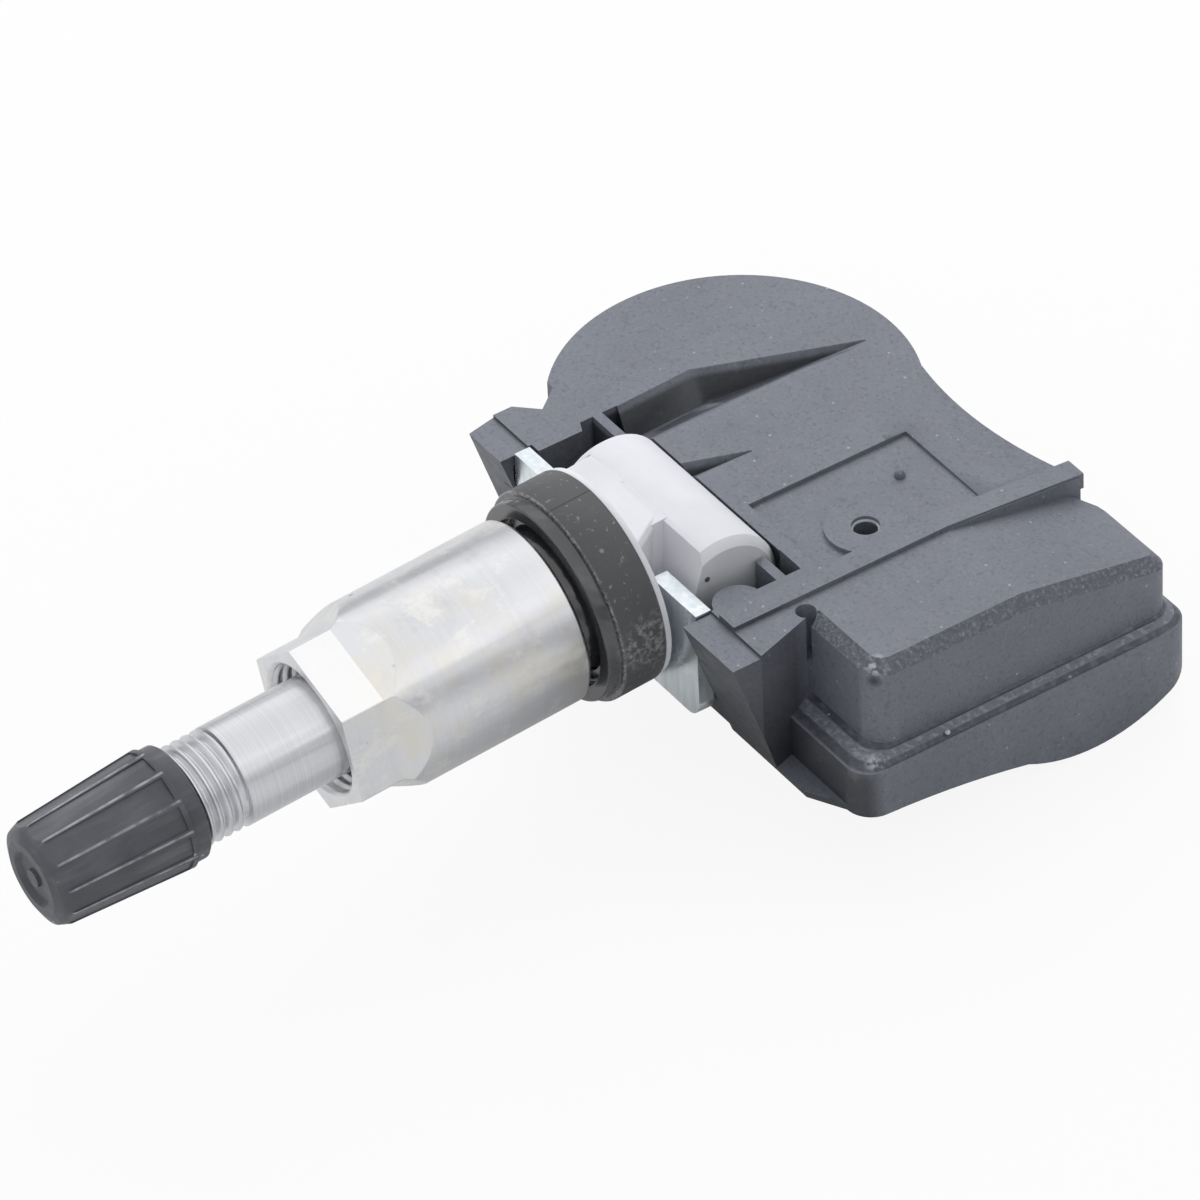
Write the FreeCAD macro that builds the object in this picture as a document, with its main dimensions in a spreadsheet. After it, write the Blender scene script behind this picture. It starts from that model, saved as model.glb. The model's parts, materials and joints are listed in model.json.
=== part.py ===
import FreeCAD, Part

import math
import os

import Sketcher

# Tyre pressure sensor with a clamp-in valve, in millimetres.
# The origin is on the valve's axis, on the face of the seal's lip that the wheel's rim is clamped to. The valve
# points along -Y and +Z is up, away from the rim well. Sizes and sketches are measured from the swivel, where
# the valve's axis meets the axis of its head, which is parallel to X. The housing is modelled level and then
# turned down by rest_swivel about that axis, as it hangs on the valve before it is fitted.

SIZES = [
    # valve stem, measured along the valve from the swivel
    ("head_radius", 4.62),
    ("head_half_length", 7.6),
    ("head_chamfer", 0.6),
    ("head_flat_apex", 3.05),
    ("head_flat_slope", 0.375),
    ("head_flat_left", 6.7),
    ("neck_top", 4.5),
    ("neck_half_top", 2.5),
    ("neck_half_middle", 3.9),
    ("flange_inset", 0.1),
    ("flange_back", 5.2),
    ("flange_thickness", 0.45),
    ("shank_radius", 4.95),
    ("shank_front", 26.0),
    ("stem_radius", 3.87),
    ("thread_start", 37.6),
    ("thread_root", 3.35),
    ("core_bore_radius", 2.15),
    ("core_bore_back", 38.0),
    ("air_bore_radius", 1.1),
    # rubber seal
    ("seal_radius", 8.3),
    ("seal_body_length", 3.65),
    ("seal_lip_radius", 7.8),
    ("seal_lip_inner", 6.6),
    ("seal_lip_length", 1.0),
    ("seal_neck_radius", 5.65),
    ("seal_neck_length", 1.7),
    # collar nut
    ("nut_radius", 7.15),
    ("nut_back", 11.2),
    ("nut_front", 30.4),
    ("nut_across_flats", 11.7),
    ("nut_flat_length", 3.5),
    ("nut_facet_length", 2.3),
    ("nut_mouth_radius", 5.34),
    ("nut_mouth_depth", 0.3),
    ("nut_edge_chamfer", 0.3),
    ("nut_turn", 10.6),
    ("thread_clearance", 0.08),
    # dust cap
    ("cap_back", 41.3),
    ("cap_front", 53.4),
    ("cap_collar_radius", 4.4),
    ("cap_collar_length", 1.3),
    ("cap_collar_chamfer", 0.2),
    ("cap_grip_radius", 4.62),
    ("cap_tip_radius", 4.0),
    ("cap_tip_step", 0.33),
    ("cap_tip_round", 1.1),
    ("cap_flat_depth", 0.22),
    ("cap_flat_half", 0.9),
    ("cap_flat_start", 0.4),
    ("cap_flat_count", 12),
    ("cap_dish_radius", 2.2),
    ("cap_dish_slope", 0.3),
    ("cap_dish_depth", 0.35),
    ("cap_pip_radius", 0.7),
    ("cap_pip_height", 0.25),
    ("cap_bore_length", 5.7),
    ("cap_wall", 1.3),
    ("cap_seal_thickness", 0.9),
    # valve core
    ("core_length", 6.5),
    ("core_recess", 0.3),
    ("core_clearance", 0.05),
    ("core_pin_radius", 0.45),
    ("core_pin_clearance", 0.1),
    ("core_poppet_radius", 1.45),
    ("core_poppet_length", 0.7),
    ("core_seal_thickness", 0.6),
    ("core_pin_tail", 1.6),
    ("core_spring_radius", 1.3),
    ("core_spring_wire", 0.3),
    # cradle between the two ears
    ("rest_swivel", 4.0),
    ("housing_top", 2.0),
    ("cradle_left", 12.5),
    ("cradle_fill_left", 11.6),
    ("cradle_fill_back", 0.9),
    ("cradle_right", 10.4),
    ("cradle_clearance", 0.25),
    ("cradle_front", 2.9),
    ("cradle_bottom", 9.0),
    ("neck_slot_depth", 5.5),
    ("neck_slot_half", 5.1),
    ("ear_outer", 16.5),
    ("ear_bulge", 17.0),
    ("ear_notch_x", 15.4),
    ("ear_front", 5.7),
    ("ear_shelf_back", 3.2),
    ("ear_shelf_step", 0.25),
    ("ear_root", 14.9),
    ("ear_bend_y", 2.1),
    ("ear_bend_z", 8.8),
    ("ear_boss_x", 10.8),
    ("ear_boss_y", 1.1),
    ("ear_boss_radius", 1.9),
    ("foot_side", 19.4),
    ("foot_front", 1.85),
    ("foot_top", 9.2),
    ("web_front", 2.4),
    ("web_thickness", 0.8),
    ("pocket_back", 4.5),
    ("pocket_depth", 4.0),
    # forked plate
    ("plate_front", 4.45),
    ("plate_thickness", 1.3),
    ("plate_bottom", 7.6),
    ("plate_corner", 1.5),
    ("plate_slot_right", 4.9),
    ("plate_head_gap", 0.3),
    ("plate_slot_floor", 5.3),
    ("plate_tab", 1.2),
    ("plate_tab_top", 0.7),
    ("plate_tab_bottom", 1.5),
    ("plate_clearance", 0.1),
    # housing outline
    ("lobe_radius", 13.7),
    ("lobe_centre_x", -8.6),
    ("lobe_centre_y", 12.2),
    ("waist_start", 5.6),
    ("waist_radius", 27.0),
    ("box_side", 22.8),
    ("box_front", 2.0),
    ("box_back", 27.8),
    ("box_corner", 2.0),
    ("box_back_corner", 1.6),
    ("box_edge", 0.9),
    ("room_corner", 0.8),
    ("waist_end_x", 15.0),
    ("waist_end_drop", 0.95),
    ("fold_y", 15.2),
    ("fold_drop", 2.5),
    ("waist_fold_y", 17.0),
    ("waist_fold_left", 3.0),
    ("waist_drop", 1.1),
    ("skirt_left", 14.0),
    ("skirt_side", 24.3),
    ("skirt_front", 0.3),
    ("skirt_back", 28.6),
    ("skirt_top", 5.0),
    ("skirt_edge", 5.75),
    ("skirt_corner", 2.0),
    # underside, which follows the rim well
    ("belly_front_depth", 9.7),
    ("belly_turn_y", 14.0),
    ("belly_turn_depth", 11.6),
    ("cut_margin", 5.0),
    ("belly_back_depth", 9.7),
    ("belly_front_radius", 70.0),
    ("belly_back_radius", 12.8),
    # top details
    ("rail_left", 11.4),
    ("rail_right", 13.2),
    ("rail_height", 0.35),
    ("rail_end_gap", 0.6),
    ("joint_overlap", 0.1),
    ("fold_sliver", 0.02),
    ("groove_rise", 0.3),
    ("groove_lean", 0.25),
    ("panel_left", 2.4),
    ("panel_front", 5.6),
    ("panel_back", 19.4),
    ("panel_depth", 0.35),
    ("port_x", 9.3),
    ("port_y", 10.9),
    ("port_radius", 1.05),
    ("port_boss_radius", 3.0),
    ("pin_hole_x", 14.4),
    ("pin_hole_y", 2.1),
    ("pin_hole_radius", 0.75),
    ("pin_hole_depth", 4.0),
    ("groove_left", 12.5),
    ("groove_bulge", 12.9),
    ("groove_bulge_y", 11.0),
    ("groove_right", 7.4),
    ("groove_back", 23.2),
    ("groove_depth", 2.6),
    ("notch_left", 4.9),
    ("notch_right", 2.0),
    ("notch_back", 9.3),
    ("notch_depth", 1.4),
    ("groove_tip_width", 0.6),
    ("groove_tip_depth", 0.1),
    # hollow of the housing
    ("wall", 1.5),
    ("room_front", 3.2),
    ("roof", 2.6),
    ("hollow_front", 6.9),
    ("hollow_left", 0.8),
    ("hollow_depth", 5.2),
    ("lobe_hollow_radius", 8.0),
    ("lobe_hollow_roof", 2.8),
    ("lobe_hollow_y", 14.5),
    ("cover_seat", 9.0),
    ("cover_lip", 0.7),
    ("cover_clearance", 0.1),
    # battery and electronics
    ("battery_radius", 10.0),
    ("battery_height", 3.2),
    ("battery_x", -9.6),
    ("battery_y", 13.3),
    ("battery_gap", 0.3),
    ("tab_thickness", 0.15),
    ("tab_width", 3.5),
    ("tab_overlap", 5.0),
    ("tab_reach", 2.0),
    ("board_margin", 0.8),
    ("board_back_gap", 5.2),
    ("board_thickness", 1.0),
    ("board_rib_width", 1.0),
    ("board_rib_root", 0.5),
    ("board_rib_inset", 0.5),
    ("sensor_size", 5.0),
    ("gasket_height", 0.4),
    ("gasket_radius", 2.2),
    ("membrane_thickness", 0.3),
    ("chip_size", 5.0),
    ("chip_height", 0.9),
    ("crystal_length", 3.2),
    ("crystal_width", 2.5),
    ("crystal_height", 0.8),
    ("coil_length", 7.4),
    ("coil_shift", 2.8),
    ("coil_inset", 4.4),
    ("coil_width", 2.2),
    ("coil_height", 1.6),
    ("winding_length", 4.6),
    ("winding_depth", 0.3),
    ("antenna_thickness", 0.4),
    ("antenna_width", 1.5),
    ("antenna_height", 2.0),
    ("antenna_length", 9.0),
    ("antenna_inset", 0.3),
    ("capacitor_length", 2.0),
    ("capacitor_width", 1.25),
    ("capacitor_height", 1.0),
    ("capacitor_shift", 3.6),
]


class Size:
    """A length that knows its value and the expression that gives it."""

    def __init__(self, value, text):
        self.value = value
        self.text = text

    def __add__(self, other):
        other = as_size(other)
        return Size(self.value + other.value, f"({self.text} + {other.text})")

    def __sub__(self, other):
        other = as_size(other)
        return Size(self.value - other.value, f"({self.text} - {other.text})")

    def __mul__(self, factor):
        factor = as_size(factor)
        return Size(self.value * factor.value, f"({self.text} * {factor.text})")

    def __truediv__(self, factor):
        factor = as_size(factor)
        return Size(self.value / factor.value, f"({self.text} / {factor.text})")

    def __neg__(self):
        return Size(-self.value, f"(0 - {self.text})")


def as_size(number):
    return number if isinstance(number, Size) else Size(float(number), f"({number})")


def root(square):
    return Size(math.sqrt(square.value), f"sqrt({square.text})")


class Sheet:
    """The spreadsheet of driving dimensions, read by name."""

    def __init__(self, doc):
        self.sheet = doc.addObject("Spreadsheet::Sheet", "Sizes")
        for row, (alias, value) in enumerate(SIZES, start=1):
            self.sheet.set(f"A{row}", alias)
            self.sheet.set(f"B{row}", str(value))
            self.sheet.setAlias(f"B{row}", alias)
        doc.recompute()

    def __getattr__(self, alias):
        return Size(float(self.sheet.get(alias)), f"Sizes.{alias}")


doc = FreeCAD.newDocument("tyre_pressure_sensor")
size = Sheet(doc)


# Helpers for sketches and features


def rim_distance():
    """How far the face that the rim is clamped to is from the swivel."""
    return size.flange_back + size.flange_thickness + size.seal_body_length + size.seal_lip_length


def new_body(label, housing=False, turn_y=None):
    """A body with its own label, level with the valve or turned down with the housing."""
    body = doc.addObject("PartDesign::Body", "Body_" + label)
    body.Label = label
    turn = FreeCAD.Rotation()
    if housing:
        turn = FreeCAD.Rotation(FreeCAD.Vector(-1, 0, 0), size.rest_swivel.value)
    if turn_y is not None:
        turn = FreeCAD.Rotation(FreeCAD.Vector(0, -1, 0), turn_y.value)
    body.Placement = FreeCAD.Placement(FreeCAD.Vector(0, rim_distance().value, 0), turn)
    body.setExpression(".Placement.Base.y", rim_distance().text)
    if housing:
        body.setExpression(".Placement.Rotation.Angle", size.rest_swivel.text)
    if turn_y is not None:
        body.setExpression(".Placement.Rotation.Angle", turn_y.text)
    return body


def origin_feature(body, role):
    for feature in body.Origin.OriginFeatures:
        if feature.Role == role:
            return feature
    raise ValueError(role)


def new_sketch(body, name, role, level=0):
    """A sketch on one of the body's own origin planes, moved along that plane's normal to a level."""
    sketch = body.newObject("Sketcher::SketchObject", name)
    sketch.AttachmentSupport = (origin_feature(body, role), [""])
    sketch.MapMode = "FlatFace"
    level = as_size(level)
    offset = -level if role == "XZ_Plane" else level
    sketch.AttachmentOffset = FreeCAD.Placement(
        FreeCAD.Vector(0, 0, offset.value), FreeCAD.Rotation()
    )
    sketch.setExpression(".AttachmentOffset.Base.z", offset.text)
    return sketch


def bind(sketch, kind, name, value, *geometry):
    index = sketch.addConstraint(Sketcher.Constraint(kind, *geometry, value.value))
    sketch.renameConstraint(index, name)
    sketch.setExpression(f"Constraints.{name}", value.text)


def bind_point(sketch, name, point, edge, end):
    """Holds one end of an edge at a place, written as its distances from the sketch's origin."""
    bind(sketch, "DistanceX", name + "_x", as_size(point[0]), -1, 1, edge, end)
    bind(sketch, "DistanceY", name + "_y", as_size(point[1]), -1, 1, edge, end)


def arc_between(start, end, radius):
    """An arc from start to end: a positive radius bulges to the right of the way there, a negative one to the left."""
    chord = end - start
    half = chord.Length / 2
    side = 1 if radius > 0 else -1
    normal = FreeCAD.Vector(-chord.y, chord.x, 0).normalize()
    rise = math.sqrt(max(radius * radius - half * half, 1e-6))
    centre = start + chord / 2 + normal * rise * side
    from_point, to_point = (start, end) if side > 0 else (end, start)
    first = math.atan2(from_point.y - centre.y, from_point.x - centre.x)
    last = math.atan2(to_point.y - centre.y, to_point.x - centre.x)
    if last < first:
        last += 2 * math.pi
    circle = Part.Circle(centre, FreeCAD.Vector(0, 0, 1), abs(radius))
    return Part.ArcOfCircle(circle, first, last), side > 0


def outline(sketch, name, points):
    """A closed outline. A point may carry a third entry: the radius of the arc from it to the next point."""
    places = [FreeCAD.Vector(as_size(p[0]).value, as_size(p[1]).value, 0) for p in points]
    count = len(points)
    ends = []
    for i, point in enumerate(points):
        start = places[i]
        end = places[(i + 1) % count]
        if len(point) == 3:
            radius = as_size(point[2])
            arc, forward = arc_between(start, end, radius.value)
            edge = sketch.addGeometry(arc, False)
            ends.append((edge, 1, 2) if forward else (edge, 2, 1))
        else:
            edge = sketch.addGeometry(Part.LineSegment(start, end), False)
            ends.append((edge, 1, 2))
    for i in range(count):
        following = ends[(i + 1) % count]
        sketch.addConstraint(
            Sketcher.Constraint("Coincident", ends[i][0], ends[i][2], following[0], following[1])
        )
    for i, point in enumerate(points):
        bind_point(sketch, f"{name}_{i}", point, ends[i][0], ends[i][1])
        if len(point) == 3:
            radius = as_size(point[2])
            length = radius if radius.value > 0 else -radius
            bind(sketch, "Radius", f"{name}_{i}_radius", length, ends[i][0])


def circle(sketch, name, centre, radius):
    place = FreeCAD.Vector(as_size(centre[0]).value, as_size(centre[1]).value, 0)
    edge = sketch.addGeometry(Part.Circle(place, FreeCAD.Vector(0, 0, 1), radius.value), False)
    bind_point(sketch, name, centre, edge, 3)
    bind(sketch, "Radius", name + "_radius", radius, edge)


def turned(body, kind, name, points, axis):
    """A Revolution or Groove of an outline in the XY plane, turned a full circle about X or Y."""
    sketch = new_sketch(body, name + "_profile", "XY_Plane")
    outline(sketch, name, points)
    feature = body.newObject("PartDesign::" + kind, name)
    feature.Profile = (sketch, [""])
    feature.ReferenceAxis = (sketch, ["V_Axis" if axis == "Y" else "H_Axis"])
    feature.Angle = 360
    doc.recompute()
    return feature


def extruded(body, kind, name, role, low, high, points=None, circles=()):
    """A Pad or Pocket of an outline and circles between two levels of the plane's axis."""
    low = as_size(low)
    high = as_size(high)
    backwards = role == "XZ_Plane"
    sketch = new_sketch(body, name + "_profile", role, high if backwards else low)
    if points:
        outline(sketch, name, points)
    for i, (centre, radius) in enumerate(circles):
        circle(sketch, f"{name}_hole_{i}", centre, radius)
    feature = body.newObject("PartDesign::" + kind, name)
    feature.Profile = (sketch, [""])
    feature.Length = (high - low).value
    feature.setExpression("Length", (high - low).text)
    feature.Reversed = kind == "Pocket"
    doc.recompute()
    return feature


def rectangle(left, right, low, high):
    return [(left, low), (right, low), (right, high), (left, high)]


def ring_pattern(body, name, feature, count):
    """Copies of a feature all round the Y axis."""
    pattern = body.newObject("PartDesign::PolarPattern", name)
    pattern.Originals = [feature]
    pattern.Axis = (origin_feature(body, "Y_Axis"), [""])
    pattern.Angle = 360
    pattern.Occurrences = int(round(as_size(count).value))
    if isinstance(count, Size):
        pattern.setExpression("Occurrences", count.text)
    body.Tip = pattern
    doc.recompute()
    return pattern


def bevelled(body, name, feature, kind, amount, chosen):
    """A Chamfer or Fillet on the edges of a feature that a test picks out."""
    edges = [f"Edge{i + 1}" for i, edge in enumerate(feature.Shape.Edges) if chosen(edge)]
    bevel = body.newObject("PartDesign::" + kind, name)
    bevel.Base = (feature, edges)
    attribute = "Radius" if kind == "Fillet" else "Size"
    setattr(bevel, attribute, amount.value)
    bevel.setExpression(attribute, amount.text)
    doc.recompute()
    return bevel


# Valve, along -Y from the swivel


def stem_front():
    """How far the stem reaches: up to the seal inside the dust cap."""
    return size.cap_front - size.cap_wall - size.cap_seal_thickness


def valve_stem():
    body = new_body("valve_stem")
    half = size.head_half_length
    head = size.head_radius
    cut = size.head_chamfer
    turned(
        body,
        "Revolution",
        "swivel_head",
        [(-half, 0), (half, 0), (half, head - cut), (half - cut, head), (cut - half, head), (-half, head - cut)],
        "X",
    )
    reach = head + 1
    back = size.head_flat_apex - size.head_flat_slope * reach
    extruded(
        body,
        "Pocket",
        "head_flats",
        "YZ_Plane",
        -size.head_flat_left,
        half + 1,
        [(-back, reach), (-size.head_flat_apex, 0), (-back, -reach), (-reach, -reach), (-reach, reach)],
    )
    top = size.neck_top
    narrow = size.neck_half_top
    wide = size.neck_half_middle
    extruded(
        body,
        "Pad",
        "neck",
        "XZ_Plane",
        -size.flange_back,
        0,
        [(-narrow, -top), (narrow, -top), (wide, 0), (narrow, top), (-narrow, top), (-wide, 0)],
    )
    flange_front = size.flange_back + size.flange_thickness
    front = stem_front()
    turned(
        body,
        "Revolution",
        "stem",
        [
            (0, -size.flange_back),
            (size.seal_radius - size.flange_inset, -size.flange_back),
            (size.seal_radius - size.flange_inset, -flange_front),
            (size.shank_radius, -flange_front),
            (size.shank_radius, -size.shank_front),
            (size.stem_radius, -size.shank_front),
            (size.stem_radius, -size.thread_start),
            (size.thread_root, -size.thread_start),
            (size.thread_root, -front),
            (0, -front),
        ],
        "Y",
    )
    turned(
        body,
        "Groove",
        "bore",
        [
            (0, reach),
            (size.air_bore_radius, reach),
            (size.air_bore_radius, -size.core_bore_back),
            (size.core_bore_radius, -size.core_bore_back),
            (size.core_bore_radius, -front - 1),
            (0, -front - 1),
        ],
        "Y",
    )
    return body


def rim_seal():
    """The rubber seal on the flange: a thick washer with a raised lip and the neck that fills the rim hole."""
    body = new_body("rim_seal")
    back = size.flange_back + size.flange_thickness
    face = back + size.seal_body_length
    lip = face + size.seal_lip_length
    bore = size.shank_radius + size.core_clearance
    turned(
        body,
        "Revolution",
        "seal",
        [
            (bore, -back),
            (size.seal_radius, -back),
            (size.seal_radius, -face),
            (size.seal_lip_radius, -face),
            (size.seal_lip_radius, -lip),
            (size.seal_lip_inner, -lip),
            (size.seal_lip_inner, -face),
            (size.seal_neck_radius, -face),
            (size.seal_neck_radius, -face - size.seal_neck_length),
            (bore, -face - size.seal_neck_length),
        ],
        "Y",
    )
    return body


def collar_nut():
    body = new_body("collar_nut", turn_y=size.nut_turn)
    bore = size.shank_radius + size.thread_clearance
    edge = size.nut_edge_chamfer
    turned(
        body,
        "Revolution",
        "barrel",
        [
            (bore, -size.nut_back),
            (size.nut_radius - edge, -size.nut_back),
            (size.nut_radius, -size.nut_back - edge),
            (size.nut_radius, -size.nut_front),
            (size.nut_mouth_radius, -size.nut_front),
            (bore, -size.nut_front + size.nut_mouth_depth),
        ],
        "Y",
    )
    flat = size.nut_across_flats / 2
    shoulder = size.nut_front - size.nut_flat_length
    far = size.nut_radius + 1
    facet_end = shoulder - size.nut_facet_length * (far - flat) / (size.nut_radius - flat)
    side = extruded(
        body,
        "Pocket",
        "hexagon_side",
        "XY_Plane",
        -far,
        far,
        [(flat, -size.nut_front - 1), (far, -size.nut_front - 1), (far, -facet_end), (flat, -shoulder)],
    )
    ring_pattern(body, "hexagon", side, 6)
    return body


def valve_cap():
    """The dust cap: a smooth collar, twelve flats with thin ridges between them, and a dished end."""
    body = new_body("valve_cap")
    bore = size.stem_radius + size.thread_clearance
    tip_bore = size.thread_root + size.thread_clearance
    step = size.cap_back + size.cap_bore_length
    floor = size.cap_front - size.cap_wall
    grip_start = size.cap_back + size.cap_collar_length
    front = size.cap_front
    rounding = size.cap_tip_round
    dish = -front + size.cap_dish_depth
    pip = dish - size.cap_pip_height
    turned(
        body,
        "Revolution",
        "cap",
        [
            (bore, -size.cap_back),
            (size.cap_collar_radius - size.cap_collar_chamfer, -size.cap_back),
            (size.cap_collar_radius, -size.cap_back - size.cap_collar_chamfer),
            (size.cap_collar_radius, -grip_start),
            (size.cap_grip_radius, -grip_start),
            (size.cap_tip_radius, -front + rounding),
            (size.cap_tip_radius - size.cap_tip_step, -front + size.cap_tip_step),
            (size.cap_tip_radius - rounding, -front),
            (size.cap_dish_radius, -front),
            (size.cap_dish_radius - size.cap_dish_slope, dish),
            (size.cap_pip_radius, dish),
            (size.cap_pip_radius, pip),
            (0, pip),
            (0, -floor),
            (tip_bore, -floor),
            (tip_bore, -step),
            (bore, -step),
        ],
        "Y",
    )
    taper = (size.cap_grip_radius - size.cap_tip_radius) / (front - rounding - grip_start)
    start = grip_start + size.cap_flat_start
    end = front + 1
    level = size.cap_grip_radius - size.cap_flat_depth
    far = size.cap_grip_radius + 1
    flat = extruded(
        body,
        "Pocket",
        "grip_flat",
        "XY_Plane",
        -size.cap_flat_half,
        size.cap_flat_half,
        [(level - taper * (end - start), -end), (far, -end), (far, -start), (level, -start)],
    )
    ring_pattern(body, "grip_flats", flat, size.cap_flat_count)
    return body


def turned_ring(label, inner, outer, near, far):
    """A plain ring or disc on the valve's axis, between two distances from the swivel."""
    body = new_body(label)
    turned(body, "Revolution", label + "_ring", [(inner, -near), (outer, -near), (outer, -far), (inner, -far)], "Y")
    return body


def valve_core():
    """The core's brass body, its seal, its pin with the poppet, and the spring that closes it."""
    front = stem_front() - size.core_recess
    back = front - size.core_length
    pin = size.core_pin_radius
    hole = pin + size.core_pin_clearance
    core = new_body("core_body")
    outer = size.core_bore_radius - size.core_clearance
    turned(
        core,
        "Revolution",
        "core",
        [(hole, -back), (outer, -back), (outer, -front), (hole, -front)],
        "Y",
    )
    seal_back = back - size.core_seal_thickness
    seal = turned_ring("core_seal", pin, size.core_poppet_radius, seal_back, back)
    poppet_back = seal_back - size.core_poppet_length
    moving = new_body("core_pin")
    turned(
        moving,
        "Revolution",
        "pin",
        [
            (0, -poppet_back + size.core_pin_tail),
            (pin, -poppet_back + size.core_pin_tail),
            (pin, -poppet_back),
            (size.core_poppet_radius, -poppet_back),
            (size.core_poppet_radius, -seal_back),
            (pin, -seal_back),
            (pin, -front - size.core_recess / 2),
            (0, -front - size.core_recess / 2),
        ],
        "Y",
    )
    radius = size.core_spring_radius
    spring = turned_ring("core_spring", radius - size.core_spring_wire, radius, size.core_bore_back, poppet_back)
    return [core, seal, moving, spring]


def cap_seal():
    floor = size.cap_front - size.cap_wall
    return turned_ring("cap_seal", 0, size.thread_root, floor - size.cap_seal_thickness, floor)


# Housing and what it holds, level with its own top


def plan(right, back, inset, front, round_right):
    """The battery lobe and what lies to its right as one outline seen from above, drawn in by a wall."""
    lobe_x = size.lobe_centre_x
    lobe_y = size.lobe_centre_y
    radius = size.lobe_radius - inset
    waist = size.waist_start
    ahead = lobe_y - front
    return [
        (lobe_x - root(radius * radius - ahead * ahead), front),
        *round_right,
        (right, back, -(size.waist_radius + inset)),
        (lobe_x + waist, lobe_y + root(radius * radius - waist * waist), radius),
        (lobe_x - radius, lobe_y, radius),
    ]


def lobe_plan():
    """The lobe and the waist, up to the side of the box."""
    right = size.rail_right + size.joint_overlap
    return plan(right, size.box_back - size.waist_end_drop, as_size(0), size.box_front, [(right, size.box_front)])


def box_plan():
    """The box beside the lobe, with its back left corner cut where the waist runs into it."""
    left = size.rail_right
    right = size.box_side
    front = size.box_front
    back = size.box_back
    corner = size.box_corner
    back_corner = size.box_back_corner
    return [
        (left, front),
        (right - corner, front, corner),
        (right, front + corner),
        (right, back - back_corner, back_corner),
        (right - back_corner, back),
        (size.waist_end_x, back),
        (left, back - size.waist_end_drop),
    ]


def inner_plan(inset, front):
    """The lobe and the box together, drawn in by a wall, for the room inside them."""
    right = size.box_side - inset
    back = size.box_back - inset
    corner = size.room_corner
    round_right = [
        (right - corner, front, corner),
        (right, front + corner),
        (right, back - corner, corner),
        (right - corner, back),
    ]
    return plan(size.waist_end_x, back, inset, front, round_right)


def underside(body):
    """Cuts away what is below the curved underside, which is seen from the side."""
    front = -size.ear_front - size.cut_margin
    back = size.skirt_back + size.cut_margin
    low = -size.belly_turn_depth - size.cut_margin
    extruded(
        body,
        "Pocket",
        body.Label + "_underside",
        "YZ_Plane",
        -size.skirt_side - size.cut_margin,
        size.skirt_side + size.cut_margin,
        [
            (front, low),
            (back, low),
            (back, -size.belly_back_depth),
            (size.skirt_back, -size.belly_back_depth, -size.belly_back_radius),
            (size.belly_turn_y, -size.belly_turn_depth, size.belly_front_radius),
            (0, -size.belly_front_depth),
            (front, -size.belly_front_depth),
        ],
    )


def lofted(body, kind, name, role, sections):
    """An additive or subtractive loft with straight sides between outlines at different levels."""
    sketches = []
    for i, (level, points) in enumerate(sections):
        sketch = new_sketch(body, f"{name}_{i}", role, level)
        outline(sketch, f"{name}_{i}", points)
        sketches.append(sketch)
    loft = body.newObject("PartDesign::" + kind, name)
    loft.Profile = (sketches[0], [""])
    loft.Sections = [(sketch, [""]) for sketch in sketches[1:]]
    loft.Ruled = True
    doc.recompute()
    return loft


def lowest():
    """A level that is safely below the underside."""
    return -size.belly_turn_depth - 3


def shell_ears(shell):
    """Both ears with their feet and sloping fronts, and the block of the cradle between them."""
    top = size.housing_top
    front = -size.ear_front
    ear_back = size.box_front + 2
    right = [
        (size.cradle_right, front),
        (size.ear_outer, front),
        (size.ear_outer, -size.ear_shelf_back),
        (size.ear_root, size.box_front),
        (size.ear_root, ear_back),
        (size.cradle_right, ear_back),
    ]
    shoulder = -size.ear_shelf_back
    left = [
        (-size.cradle_left, front),
        (-size.cradle_left, ear_back),
        (-size.ear_bulge, size.box_front),
        (-size.ear_notch_x, 0),
        (-size.ear_bulge, shoulder / 2),
        (-size.ear_bulge, shoulder),
        (-size.ear_outer, front),
    ]
    extruded(shell, "Pad", "right_ear", "XY_Plane", lowest(), top, right)
    extruded(shell, "Pad", "left_ear", "XY_Plane", lowest(), top, left)
    extruded(
        shell,
        "Pad",
        "cradle_block",
        "XY_Plane",
        -size.cradle_bottom,
        top,
        rectangle(-size.cradle_left, size.cradle_right, -size.cradle_front, ear_back),
    )
    extruded(
        shell,
        "Pad",
        "foot",
        "XY_Plane",
        lowest(),
        -size.foot_top,
        [
            (size.ear_root, front),
            (size.ear_outer, front),
            (size.foot_side, -size.foot_front),
            (size.skirt_side - size.skirt_corner, -size.skirt_front),
            (size.skirt_side - size.skirt_corner, ear_back),
            (size.ear_root, ear_back),
        ],
    )
    slope = (size.ear_front - size.ear_bend_y) / (size.ear_bend_z + top)
    deep = -lowest() + 1
    extruded(
        shell,
        "Pocket",
        "ear_slope",
        "YZ_Plane",
        -size.ear_bulge - 1,
        size.foot_side + 1,
        [(front, top), (front - 2, top), (front - 2, -deep), (front + slope * (deep + top), -deep)],
    )
    extruded(
        shell,
        "Pocket",
        "ear_shelves",
        "XY_Plane",
        top - size.ear_shelf_step,
        top + 1,
        rectangle(-size.ear_bulge - 1, size.ear_outer + 1, front - 1, shoulder),
    )


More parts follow.
